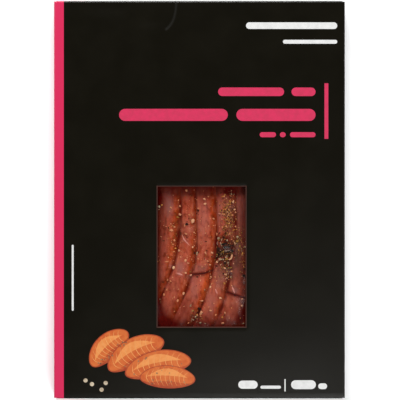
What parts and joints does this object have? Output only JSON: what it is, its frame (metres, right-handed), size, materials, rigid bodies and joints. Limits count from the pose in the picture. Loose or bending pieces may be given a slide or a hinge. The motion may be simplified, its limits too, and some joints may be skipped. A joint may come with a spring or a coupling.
{
  "type": "pack of smoked salmon strips",
  "caption": "Flat folded carton with a die-cut window in its front, holding peppered smoked salmon strips in a clear sealed pouch.",
  "frame": {"origin": "middle of the back panel, on the surface the pack lies on", "axes": "+X runs across the front panel to its right, +Y up the front panel, +Z out of the front panel"},
  "size_m": [0.15, 0.205, 0.0122],
  "materials": {
    "card": "satin black coated carton board with printed fields of colour",
    "film": "clear glossy vacuum film",
    "fish": "moist smoked fish, pink-orange flesh with darker smoked sides",
    "pepper": "crushed dried pepper, cream, gold and black"
  },
  "bodies": {
    "root": {"carton": "card", "pouch": "film", "strip_1": "fish", "strip_2": "fish", "strip_3": "fish", "strip_4": "fish", "strip_5": "fish", "strip_6": "fish", "strip_7": "fish", "strip_8": "fish"}
  },
  "joints": []
}
